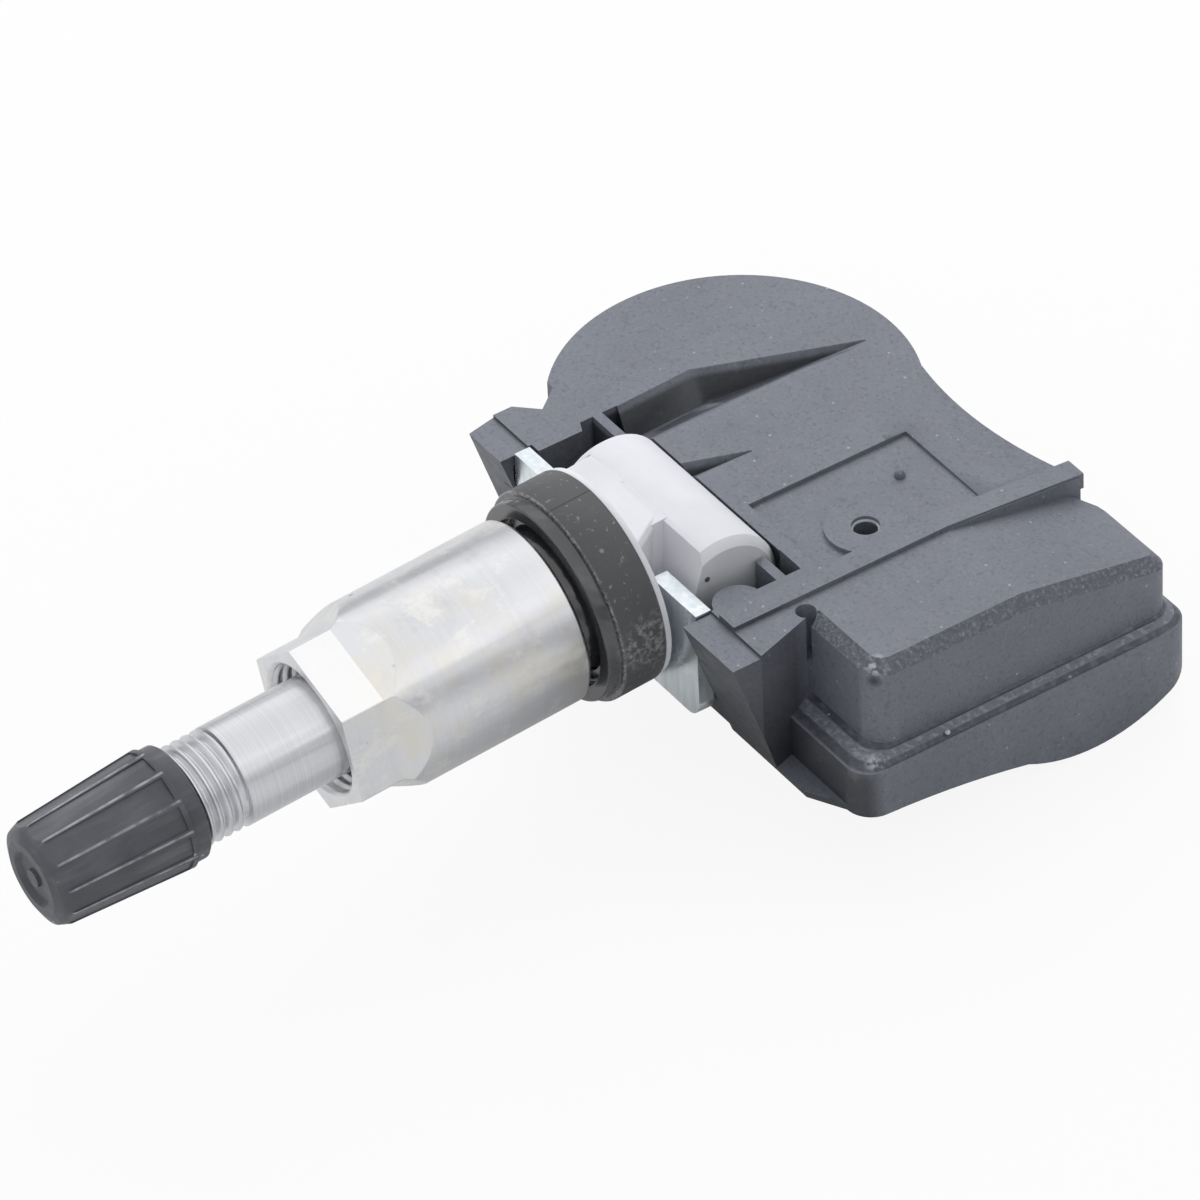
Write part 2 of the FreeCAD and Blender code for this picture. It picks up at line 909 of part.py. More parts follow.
def shell_cradle(shell):
    """The seat of the swivel head, the slot for the valve's neck, the pockets beside them and the plate's slots."""
    top = size.housing_top
    seat = size.head_radius + size.cradle_clearance
    half = size.head_half_length + size.cradle_clearance
    extruded(shell, "Pocket", "head_seat", "YZ_Plane", -half, half, circles=[((0, 0), seat)])
    neck = size.neck_slot_half
    front = -size.cradle_front - 1
    extruded(
        shell, "Pocket", "neck_slot", "XY_Plane", -size.neck_slot_depth, top + 1, rectangle(-neck, neck, front, 0)
    )
    web_back = size.web_front + size.web_thickness
    fill = -size.cradle_fill_left
    left = -size.cradle_left
    pockets = {
        "left_front": [
            (fill, front),
            (-half, front),
            (-half, size.web_front),
            (left, size.web_front),
            (left, size.cradle_fill_back + size.web_thickness / 2),
            (fill, size.cradle_fill_back),
        ],
        "right_front": rectangle(half, size.cradle_right, front, size.web_front),
        "left_back": rectangle(left, -half, web_back, size.pocket_back),
        "right_back": rectangle(half, size.cradle_right, web_back, size.pocket_back),
    }
    for name, points in pockets.items():
        extruded(shell, "Pocket", name + "_pocket", "XY_Plane", -size.pocket_depth, top + 1, points)
    boss = (size.ear_boss_x, -size.ear_boss_y)
    extruded(
        shell,
        "Pad",
        "ear_boss",
        "XY_Plane",
        -size.pocket_depth - 1,
        top,
        circles=[(boss, size.ear_boss_radius)],
    )
    gap = size.plate_clearance
    slot_front = -size.plate_front - gap
    slot_back = -size.plate_front + size.plate_thickness + gap
    reach = size.plate_tab + gap
    for name, left, right in (
        ("left", -size.cradle_left - reach, -size.cradle_left),
        ("right", size.cradle_right, size.cradle_right + reach),
    ):
        extruded(
            shell,
            "Pocket",
            name + "_plate_slot",
            "XY_Plane",
            -size.plate_tab_bottom - gap,
            size.plate_tab_top + gap,
            rectangle(left, right, slot_front, slot_back),
        )


def rounded(left, right, low, high, corner, back_corner):
    """A rectangle whose two right-hand corners are round."""
    return [
        (left, low),
        (right - corner, low, corner),
        (right, low + corner),
        (right, high - back_corner, back_corner),
        (right - back_corner, high),
        (left, high),
    ]


def shell_skirt(shell):
    """The skirt round the box, with a ledge that slopes up to the box's walls."""
    corner = size.skirt_corner
    edge = rounded(size.skirt_left, size.skirt_side, -size.skirt_front, size.skirt_back, corner, corner)
    overlap = size.joint_overlap
    inner = rounded(
        size.skirt_left,
        size.box_side - overlap,
        size.box_front + overlap,
        size.box_back - overlap,
        size.box_corner,
        size.box_back_corner,
    )
    extruded(shell, "Pad", "skirt", "XY_Plane", lowest(), -size.skirt_edge, edge)
    lofted(
        shell, "AdditiveLoft", "skirt_ledge", "XY_Plane", [(-size.skirt_edge, edge), (-size.skirt_top, inner)]
    )


def on_box_rim(edge):
    """Whether an edge is one of those round the top of the box, leaving out the side that joins the lobe."""
    highest = size.housing_top.value - size.fold_drop.value
    near = 0.02
    low = min(vertex.Point.z for vertex in edge.Vertexes)
    inner = max(vertex.Point.x for vertex in edge.Vertexes) < size.rail_right.value + near
    middle = edge.valueAt((edge.FirstParameter + edge.LastParameter) / 2)
    folds = abs(middle.y - size.fold_y.value) < near
    return low > highest - near and not inner and not folds


def shell_box(shell):
    """The box with its folded top and bevelled rim."""
    top = size.housing_top
    above = top + 3
    extruded(shell, "Pad", "box", "XY_Plane", lowest(), top, box_plan())
    back = size.box_back + 1
    past = (back - size.fold_y) / (size.box_back - size.fold_y)
    folded = extruded(
        shell,
        "Pocket",
        "box_top",
        "YZ_Plane",
        size.rail_right - 1,
        size.box_side + 1,
        [(size.fold_y, top), (back, top - size.fold_drop * past), (back, above), (size.fold_y, above)],
    )
    bevelled(shell, "box_rim", folded, "Chamfer", size.box_edge, on_box_rim)


def shell_top(shell):
    """The lobe with its falling waist, the panel, the rail and the port's boss."""
    top = size.housing_top
    above = top + 3
    extruded(shell, "Pad", "lobe", "XY_Plane", lowest(), top, lobe_plan())
    back = size.skirt_back
    left = -size.waist_fold_left
    right = size.rail_right + size.joint_overlap
    sliver = size.fold_sliver
    lofted(
        shell,
        "SubtractiveLoft",
        "waist_fall",
        "XZ_Plane",
        [
            (size.waist_fold_y, rectangle(left, right, top + sliver, above)),
            (back, [(left, top + sliver), (right, top - size.waist_drop), (right, above), (left, above)]),
        ],
    )
    extruded(
        shell,
        "Pocket",
        "panel",
        "XY_Plane",
        top - size.panel_depth,
        above,
        rectangle(size.panel_left, size.rail_left, size.panel_front, size.panel_back),
    )
    rail_back = size.box_back - size.rail_end_gap
    extruded(
        shell,
        "Pad",
        "rail",
        "YZ_Plane",
        size.rail_left,
        size.rail_right,
        [
            (-size.ear_shelf_back, top - 1),
            (size.fold_y, top - 1),
            (rail_back, top - size.waist_drop - 1),
            (rail_back, top - size.waist_drop + size.rail_height),
            (size.fold_y, top + size.rail_height),
            (-size.ear_shelf_back, top + size.rail_height),
        ],
    )
    port = (size.port_x, size.port_y)
    extruded(
        shell,
        "Pad",
        "port_boss",
        "XY_Plane",
        top - size.panel_depth - size.joint_overlap,
        top,
        circles=[(port, size.port_boss_radius)],
    )


def shell_grooves(shell):
    """The long groove beside the battery lobe and the short notch, both deepest at the web behind the head."""
    web_back = size.web_front + size.web_thickness
    tip = groove_section(size.groove_right + size.groove_tip_width, size.groove_right, size.groove_tip_depth)
    lofted(
        shell,
        "SubtractiveLoft",
        "long_groove",
        "XZ_Plane",
        [
            (web_back, groove_section(size.groove_left, size.groove_right, size.groove_depth)),
            (size.groove_bulge_y, groove_section(size.groove_bulge, size.groove_right, size.groove_depth)),
            (size.groove_back, tip),
        ],
    )
    tip = groove_section(size.notch_right + size.groove_tip_width, size.notch_right, size.groove_tip_depth)
    lofted(
        shell,
        "SubtractiveLoft",
        "short_notch",
        "XZ_Plane",
        [
            (web_back, groove_section(size.notch_left, size.notch_right, size.notch_depth)),
            (size.notch_back, tip),
        ],
    )


def groove_section(left, right, depth):
    """A three-sided groove seen from the front, left of the valve: a steep left wall and a gentler right one."""
    top = size.housing_top
    lean = (left - right) * size.groove_lean
    above = top + size.groove_rise
    return [(-left, above), (-left + lean, top - depth), (-right, above)]


def board_area():
    """The board's left, right, front and back edges."""
    return (
        size.hollow_left + size.board_margin,
        size.box_side - size.wall - size.board_margin,
        size.hollow_front + size.board_margin,
        size.box_back - size.board_back_gap,
    )


def shell_hollow(shell):
    """The room for the battery and the board, open below, with the cover's seat and the ribs over the board."""
    left, right, front, back = board_area()
    margin = size.board_margin
    extruded(
        shell, "Pocket", "room", "XY_Plane", lowest(), -size.hollow_depth, inner_plan(size.wall, size.room_front)
    )
    extruded(
        shell,
        "Pocket",
        "board_room",
        "XY_Plane",
        -size.hollow_depth - 1,
        -size.roof,
        rectangle(left - margin, right + margin, front - margin, back + margin),
    )
    extruded(
        shell,
        "Pocket",
        "battery_room",
        "XY_Plane",
        -size.hollow_depth - 1,
        -size.lobe_hollow_roof,
        circles=[((size.lobe_centre_x, size.lobe_hollow_y), size.lobe_hollow_radius)],
    )
    extruded(
        shell,
        "Pocket",
        "cover_recess",
        "XY_Plane",
        lowest(),
        -size.cover_seat,
        inner_plan(size.cover_lip, size.box_front + size.cover_lip),
    )
    inset = size.board_rib_inset
    width = size.board_rib_width
    sensor_right = size.port_x + size.sensor_size / 2
    for name, start, low in (
        ("front_rib", sensor_right + inset, front + inset),
        ("back_rib", left + inset, back - inset - width),
    ):
        extruded(
            shell,
            "Pad",
            name,
            "XY_Plane",
            -board_top(),
            -size.roof + size.board_rib_root,
            rectangle(start, right - inset, low, low + width),
        )


def shell_holes(shell):
    port = (size.port_x, size.port_y)
    top = size.housing_top
    extruded(
        shell, "Pocket", "port", "XY_Plane", -size.roof - 1, top + 1, circles=[(port, size.port_radius)]
    )
    pin = (size.pin_hole_x, size.pin_hole_y)
    extruded(
        shell,
        "Pocket",
        "pin_hole",
        "XY_Plane",
        top - size.pin_hole_depth,
        top + 1,
        circles=[(pin, size.pin_hole_radius)],
    )


def board_top():
    """How far the board's upper face and the battery's lie below the swivel."""
    return size.hollow_depth + size.battery_gap


def housing_shell():
    shell = new_body("housing_shell", housing=True)
    shell_box(shell)
    shell_top(shell)
    shell_skirt(shell)
    shell_ears(shell)
    underside(shell)
    shell_cradle(shell)
    shell_grooves(shell)
    shell_hollow(shell)
    shell_holes(shell)
    return shell


def bottom_cover():
    cover = new_body("bottom_cover", housing=True)
    lip = size.cover_lip + size.cover_clearance
    seat = size.cover_seat + size.cover_clearance
    extruded(
        cover, "Pad", "cover_plate", "XY_Plane", lowest(), -seat, inner_plan(lip, size.box_front + lip)
    )
    underside(cover)
    return cover


def retaining_plate():
    """The forked plate in front of the swivel head, whose tabs sit in both ears."""
    plate = new_body("retaining_plate", housing=True)
    gap = size.plate_clearance
    left = -size.cradle_left + gap
    right = size.cradle_right - gap
    top = size.housing_top
    low = -size.plate_bottom
    corner = size.plate_corner
    slot_left = -size.head_half_length - size.plate_head_gap
    slot_right = size.plate_slot_right
    floor = -size.plate_slot_floor
    points = [
        (left + corner, low),
        (right - corner, low, corner),
        (right, low + corner),
        (right, -size.plate_tab_bottom),
        (right + size.plate_tab, -size.plate_tab_bottom),
        (right + size.plate_tab, size.plate_tab_top),
        (right, size.plate_tab_top),
        (right, top),
        (slot_right, top),
        (slot_right, floor + corner, -corner),
        (slot_right - corner, floor),
        (slot_left + corner, floor, -corner),
        (slot_left, floor + corner),
        (slot_left, top),
        (left, top),
        (left, size.plate_tab_top),
        (left - size.plate_tab, size.plate_tab_top),
        (left - size.plate_tab, -size.plate_tab_bottom),
        (left, -size.plate_tab_bottom),
        (left, low + corner, corner),
    ]
    back = -size.plate_front + size.plate_thickness
    extruded(plate, "Pad", "plate", "XZ_Plane", -size.plate_front, back, points)
    return plate


def block(label, across, along, low, high):
    """A plain block: its extent in X and in Y, and its lower and upper level."""
    body = new_body(label, housing=True)
    extruded(body, "Pad", label + "_block", "XY_Plane", low, high, rectangle(*across, *along))
    return body


def centred(middle, width):
    middle = as_size(middle)
    return (middle - width / 2, middle + width / 2)


def battery():
    """The coin cell and the two tabs that lead to the board, one along its top and one up from its bottom."""
    top = -board_top()
    bottom = top - size.battery_height
    cell = new_body("battery_cell", housing=True)
    centre = (size.battery_x, size.battery_y)
    extruded(cell, "Pad", "cell", "XY_Plane", bottom, top, circles=[(centre, size.battery_radius)])
    along = centred(size.battery_y, size.tab_width)
    start = size.battery_x + size.battery_radius - size.tab_overlap
    end = board_area()[0] + size.tab_reach
    plus = block("battery_tab_plus", (start, end), along, top, top + size.tab_thickness)
    minus = new_body("battery_tab_minus", housing=True)
    board_bottom = top - size.board_thickness
    extruded(
        minus,
        "Pad",
        "tab",
        "XZ_Plane",
        along[0],
        along[1],
        [
            (start, bottom - size.tab_thickness),
            (end, bottom - size.tab_thickness),
            (end, board_bottom),
            (end - size.tab_thickness, board_bottom),
            (end - size.tab_thickness, bottom),
            (start, bottom),
        ],
    )
    return [cell, plus, minus]


def pressure_port():
    """The pressure sensor under the port, with the gasket and the membrane between it and the roof."""
    top = -board_top()
    roof = -size.roof
    gasket_top = roof - size.membrane_thickness
    sensor_top = gasket_top - size.gasket_height
    centre = (size.port_x, size.port_y)
    sensor = block(
        "pressure_sensor",
        centred(size.port_x, size.sensor_size),
        centred(size.port_y, size.sensor_size),
        top,
        sensor_top,
    )
    gasket = new_body("port_gasket", housing=True)
    extruded(
        gasket,
        "Pad",
        "gasket",
        "XY_Plane",
        sensor_top,
        gasket_top,
        circles=[(centre, size.gasket_radius), (centre, size.port_radius)],
    )
    membrane = new_body("port_membrane", housing=True)
    extruded(membrane, "Pad", "membrane", "XY_Plane", gasket_top, roof, circles=[(centre, size.gasket_radius)])
    return [sensor, gasket, membrane]


def receiving_coil():
    """The ferrite core and its winding, lying along X at the back of the board."""
    top = -board_top()
    left, right, front, back = board_area()
    middle_x = (left + right) / 2 + size.coil_shift
    middle_y = back - size.coil_inset
    depth = size.winding_depth
    core = block(
        "lf_coil_core",
        centred(middle_x, size.coil_length),
        centred(middle_y, size.coil_width),
        top + depth,
        top + depth + size.coil_height,
    )
    winding = new_body("lf_coil_winding", housing=True)
    across = centred(middle_y, size.coil_width + depth * 2)
    ends = centred(middle_x, size.winding_length)
    extruded(
        winding, "Pad", "turns", "YZ_Plane", *ends, rectangle(*across, top, top + depth * 2 + size.coil_height)
    )
    extruded(
        winding,
        "Pocket",
        "core_opening",
        "YZ_Plane",
        ends[0] - 1,
        ends[1] + 1,
        rectangle(*centred(middle_y, size.coil_width), top + depth, top + depth + size.coil_height),
    )
    return [core, winding]


def rf_antenna():
    """The bent strip that stands on the board beside the box's side wall."""
    antenna = new_body("rf_antenna", housing=True)
    top = -board_top()
    left, right, front, back = board_area()
    start = (front + back - size.antenna_length) / 2
    end = start + size.antenna_length
    strip = size.antenna_thickness
    high = top + size.antenna_height
    edge = right - size.antenna_inset
    extruded(
        antenna,
        "Pad",
        "strip",
        "YZ_Plane",
        edge - size.antenna_width,
        edge,
        [
            (start, top),
            (start + strip, top),
            (start + strip, high - strip),
            (end - strip, high - strip),
            (end - strip, top),
            (end, top),
            (end, high),
            (start, high),
        ],
    )
    return antenna


def electronics():
    """The board and the pieces soldered on it, above and below."""
    top = -board_top()
    under = top - size.board_thickness
    left, right, front, back = board_area()
    middle = (left + right) / 2
    board = block(
        "circuit_board",
        (left, right),
        (front, back),
        under,
        top,
    )
    chip = block(
        "controller_chip",
        centred(middle, size.chip_size),
        centred((front + back) / 2, size.chip_size),
        under - size.chip_height,
        under,
    )
    crystal = block(
        "quartz_crystal",
        centred(middle + size.chip_size, size.crystal_length),
        centred(size.port_y, size.crystal_width),
        under - size.crystal_height,
        under,
    )
    capacitors = [
        block(
            f"capacitor_{i + 1}",
            centred(middle + size.capacitor_shift, size.capacitor_length),
            centred(size.port_y + size.capacitor_width * 2 * i, size.capacitor_width),
            top,
            top + size.capacitor_height,
        )
        for i in range(2)
    ]
    return [board, chip, crystal, *capacitors, *receiving_coil(), rf_antenna()]


def check(bodies):
    """Stops if an object failed, a cut removed nothing, or a piece is not one valid solid."""
    for item in doc.Objects:
        if {"Invalid", "Error"} & set(item.State):
            raise RuntimeError(f"{item.Label} failed: {item.State}")
        if item.TypeId in ("PartDesign::Pocket", "PartDesign::Groove", "PartDesign::SubtractiveLoft"):
            if item.Shape.Volume >= item.BaseFeature.Shape.Volume:
                raise RuntimeError(f"{item.Label} cuts nothing")
    for body in bodies:
        shape = body.Shape
        if shape.isNull() or not shape.isValid() or len(shape.Solids) != 1:
            raise RuntimeError(f"{body.Label} is not one valid solid")


def main():
    bodies = [valve_stem(), rim_seal(), collar_nut(), valve_cap(), cap_seal(), *valve_core()]
    bodies += [housing_shell(), bottom_cover(), retaining_plate()]
    bodies += [*battery(), *pressure_port(), *electronics()]
    doc.recompute()
    check(bodies)
    os.makedirs("parts", exist_ok=True)
    for body in bodies:
        body.Shape.exportStep(os.path.join("parts", body.Label + ".step"))
        print(body.Label, round(body.Shape.Volume, 2))


main()
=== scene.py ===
import json
import math

import bmesh
import bpy
from mathutils import Matrix, Vector


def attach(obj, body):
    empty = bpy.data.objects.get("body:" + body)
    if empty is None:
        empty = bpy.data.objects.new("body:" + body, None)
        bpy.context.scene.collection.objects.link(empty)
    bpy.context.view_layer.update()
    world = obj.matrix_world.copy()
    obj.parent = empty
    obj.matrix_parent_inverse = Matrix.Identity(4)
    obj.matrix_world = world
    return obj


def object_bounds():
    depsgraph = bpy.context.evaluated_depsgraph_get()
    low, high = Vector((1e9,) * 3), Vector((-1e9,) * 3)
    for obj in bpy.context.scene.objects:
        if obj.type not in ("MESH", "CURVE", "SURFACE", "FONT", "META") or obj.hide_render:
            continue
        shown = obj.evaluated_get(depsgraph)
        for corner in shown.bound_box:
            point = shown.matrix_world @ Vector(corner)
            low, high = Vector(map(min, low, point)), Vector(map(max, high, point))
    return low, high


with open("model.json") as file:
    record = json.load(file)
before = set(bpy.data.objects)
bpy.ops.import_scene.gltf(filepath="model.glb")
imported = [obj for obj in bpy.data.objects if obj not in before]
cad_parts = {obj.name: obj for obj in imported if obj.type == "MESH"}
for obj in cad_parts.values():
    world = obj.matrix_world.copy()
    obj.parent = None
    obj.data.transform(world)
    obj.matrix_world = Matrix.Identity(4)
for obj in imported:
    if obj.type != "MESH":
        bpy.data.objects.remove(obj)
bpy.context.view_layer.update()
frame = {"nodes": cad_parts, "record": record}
nodes = frame["nodes"]

MM = 0.001

# Directions of the photograph's camera, in the object's frame: right, up and back towards the viewer
CAMERA_RIGHT = Vector((0.5644, 0.8199, -0.0969))
CAMERA_UP = Vector((-0.5142, 0.4409, 0.7357))
CAMERA_BACK = Vector((0.6458, -0.3654, 0.6704))
CAMERA_DISTANCE = 639.2 * MM
CAMERA_AIM_RIGHT = -4.602 * MM
CAMERA_AIM_UP = -4.318 * MM
LENS_MM = 270.0
SENSOR_MM = 36.0

# The swivel is this far behind the face that the rim is clamped to, where the frame's origin lies.
# Sizes along the valve are measured from the swivel, as in the solids.
SWIVEL = Vector((0, 10.3 * MM, 0))
REST_TILT = math.radians(-4.0)

# Threads: the cap's thread on the stem and the thread in the nut's mouth
THREAD_ROOT = 3.35 * MM
THREAD_CREST = 3.86 * MM
THREAD_PITCH = 0.794 * MM
THREAD_START = 37.7 * MM
THREAD_END = 46.9 * MM
NUT_FRONT = 30.4 * MM
NUT_BORE = 5.03 * MM
NUT_THREAD_DEPTH = 0.25 * MM
NUT_THREAD_CLEARANCE = 0.02 * MM
NUT_THREAD_START = NUT_FRONT - 3.4 * MM
NUT_THREAD_END = NUT_FRONT - 0.5 * MM
THREAD_STEPS = 48
THREAD_FADE_STEPS = 10
THREAD_SINK = 0.02 * MM
# A tooth's points: the offset along the pitch and the share of the height
THREAD_PROFILE = (
    (-0.5, 0.0),
    (-0.3, 0.35),
    (-0.12, 0.92),
    (0.0, 1.0),
    (0.12, 0.92),
    (0.3, 0.35),
    (0.5, 0.0),
)
THREAD_TOOTH_SHARE = 0.96

# Places along the valve, from the rim's face towards the housing: where the stem's turned shank passes into
# its blasted flange, and where the seal's lip passes into its body
BLASTED_FROM = 4.2 * MM
BLASTED_FULL = 4.5 * MM
SEAL_BODY_FROM = 1.05 * MM
SEAL_BODY_FULL = 1.25 * MM
# The pale smudge on the seal's right side, in millimetres, with the radii that it fades out between
SMUDGE = (8.2, 3.2, 0.2)
SMUDGE_RADII = (1.3, 2.7)
# The cap's grip: its ends along the valve, and the angle from one ridge to the next
GRIP_START = 42.8 * MM
GRIP_END = 52.4 * MM
RIDGE_STEP = math.radians(30)

# Widths of the rounded edges, in millimetres
EDGE_WIDTHS = {
    "housing_shell": 0.3,
    "bottom_cover": 0.1,
    "retaining_plate": 0.12,
    "valve_stem": 0.08,
    "collar_nut": 0.08,
    "rim_seal": 0.16,
    "valve_cap": 0.07,
}
SHARP_ANGLE = math.radians(25)
WELD_DISTANCE = 1e-6

# Sections of the neck's two fillings, in millimetres from the swivel: the place along the valve, the height
# of the top and, for the flare, its right side
FLARE_SECTIONS = ((-1.05, 4.40, 1.85), (-2.4, 4.65, 2.7), (-5.1, 5.4, 4.85))
FLARE_LEFT = -2.9
FLARE_LOW = 0.5
FLAT_SECTIONS = ((-1.2, 4.40), (-2.8, 4.34), (-5.1, 4.25))
FLAT_LEFT = -6.65
FLAT_RIGHT = -2.6
FLAT_LOW = -1.5
FLAT_RISE = 0.12
FILLING_EDGE = 0.12 * MM

# Light: what matt surfaces and mirroring ones see of the room, by how far up they look
MATT_ROOM = ((0.97, 0.98, 1.0, 1), 0.74)
ROOM_BELOW = (0.5, 0.5, 0.51, 1)
ROOM_LEVELS = ((0.20, 0.42), (0.40, 0.92), (0.54, 0.95), (0.62, 1.22), (0.74, 1.22), (0.82, 1.0))
ROOM_ABOVE = (0.98, 0.98, 0.98, 1)
ROOM_BLUENESS = 1.02
SOFT_BOX_PLACE = Vector((-0.39, 0.23, 0.40))
SOFT_BOX_AIM = Vector((0, -0.01, 0))
SOFT_BOX_SIDE = 0.66
SOFT_BOX_POWER = 3.3
FLOOR_SIZE = 3.0
FLOOR_GAP = 0.00005
FLOOR_GREY = (0.74, 0.74, 0.74, 1)
FLOOR_GLOW = 0.9


# Small helpers for shader nodes


class Material:
    """A node material with short calls for the textures that it mixes."""

    def __init__(self, name):
        self.material = bpy.data.materials.new(name)
        self.material.use_nodes = True
        self.tree = self.material.node_tree
        self.shader = self.tree.nodes["Principled BSDF"]
        self.place = self.node("ShaderNodeTexCoord").outputs["Object"]

    def node(self, kind, **settings):
        node = self.tree.nodes.new(kind)
        for name, value in settings.items():
            setattr(node, name, value)
        return node

    def link(self, output, target):
        self.tree.links.new(output, target)

    def stretched(self, scale):
        mapping = self.node("ShaderNodeMapping")
        mapping.inputs["Scale"].default_value = scale
        self.link(self.place, mapping.inputs["Vector"])
        return mapping.outputs["Vector"]

    def housing_level(self):
        """The place in the housing's own frame, level with its top, whose zero is the swivel."""
        turn = Matrix.Rotation(-REST_TILT, 4, "X")
        mapping = self.node("ShaderNodeMapping")
        mapping.inputs["Rotation"].default_value = (-REST_TILT, 0, 0)
        mapping.inputs["Location"].default_value = turn @ -SWIVEL
        self.link(self.place, mapping.inputs["Vector"])
        return mapping.outputs["Vector"]

    def axes(self, place=None):
        split = self.node("ShaderNodeSeparateXYZ")
        self.link(place or self.place, split.inputs["Vector"])
        return split.outputs["X"], split.outputs["Y"], split.outputs["Z"]

    def facing(self):
        """The three parts of the direction that the surface faces, in the object's own frame."""
        split = self.node("ShaderNodeSeparateXYZ")
        self.link(self.node("ShaderNodeTexCoord").outputs["Normal"], split.inputs["Vector"])
        return split.outputs["X"], split.outputs["Y"], split.outputs["Z"]

    def spot(self, place, centre, inner, outer):
        """One inside a ball, fading to zero between two radii. Its centre and radii are in millimetres."""
        reach = self.node("ShaderNodeVectorMath", operation="DISTANCE")
        self.link(place, reach.inputs[0])
        reach.inputs[1].default_value = [c * MM for c in centre]
        return self.span(reach.outputs["Value"], outer * MM, inner * MM)

    def band(self, value, low, high, soft):
        """One between two values, fading out over a width on either side."""
        rising = self.span(value, low - soft, low)
        falling = self.span(value, high + soft, high)
        return self.product(rising, falling)

    def noise(self, scale, detail=4.0, roughness=0.55, place=None):
        noise = self.node("ShaderNodeTexNoise")
        noise.inputs["Scale"].default_value = scale
        noise.inputs["Detail"].default_value = detail
        noise.inputs["Roughness"].default_value = roughness
        self.link(place or self.place, noise.inputs["Vector"])
        return noise.outputs["Fac"]

    def cells(self, scale):
        cells = self.node("ShaderNodeTexVoronoi")
        cells.inputs["Scale"].default_value = scale
        self.link(self.place, cells.inputs["Vector"])
        return cells.outputs["Distance"]

    def span(self, value, low, high, to_low=0.0, to_high=1.0):
        span = self.node("ShaderNodeMapRange")
        span.inputs["From Min"].default_value = low
        span.inputs["From Max"].default_value = high
        span.inputs["To Min"].default_value = to_low
        span.inputs["To Max"].default_value = to_high
        self.link(value, span.inputs["Value"])
        return span.outputs["Result"]

    def math(self, kind, first, second=0.0):
        calculation = self.node("ShaderNodeMath", operation=kind)
        for socket, value in zip(calculation.inputs, (first, second)):
            if isinstance(value, (int, float)):
                socket.default_value = value
            else:
                self.link(value, socket)
        return calculation.outputs["Value"]

    def product(self, first, *others):
        """Several amounts multiplied together."""
        for other in others:
            first = self.math("MULTIPLY", first, other)
        return first

    def ramp(self, value, *stops):
        ramp = self.node("ShaderNodeValToRGB")
        elements = ramp.color_ramp.elements
        while len(elements) < len(stops):
            elements.new(0.5)
        for element, (position, colour) in zip(elements, stops):
            element.position = position
            element.color = (*colour, 1.0)
        self.link(value, ramp.inputs["Fac"])
        return ramp.outputs["Color"]

    def mix(self, amount, first, second):
        mix = self.node("ShaderNodeMix", data_type="RGBA")
        self.link(amount, mix.inputs["Factor"])
        for socket, value in zip((mix.inputs[6], mix.inputs[7]), (first, second)):
            if isinstance(value, tuple):
                socket.default_value = (*value, 1.0)
            else:
                self.link(value, socket)
        return mix.outputs[2]

    def layer(self, below, colour, *amounts):
        """A colour laid over another one, as far as the product of the amounts says."""
        return self.mix(self.product(*amounts), below, colour)

    def multiplied(self, colour, shade, amount):
        """A colour darkened by a second one where the amount is high."""
        mix = self.node("ShaderNodeMix", data_type="RGBA", blend_type="MULTIPLY")
        self.link(amount, mix.inputs["Factor"])
        self.link(colour, mix.inputs[6])
        self.link(shade, mix.inputs[7])
        return mix.outputs[2]

    def bump(self, height, strength, distance, before=None):
        bump = self.node("ShaderNodeBump")
        bump.inputs["Strength"].default_value = strength
        bump.inputs["Distance"].default_value = distance
        self.link(height, bump.inputs["Height"])
        if before:
            self.link(before, bump.inputs["Normal"])
        return bump.outputs["Normal"]

    def finish(self, colour=None, roughness=None, normal=None, metallic=0.0):
        self.shader.inputs["Metallic"].default_value = metallic
        if colour:
            self.link(colour, self.shader.inputs["Base Color"])
        if roughness:
            self.link(roughness, self.shader.inputs["Roughness"])
        if normal:
            self.link(normal, self.shader.inputs["Normal"])
        return self.material


# Materials


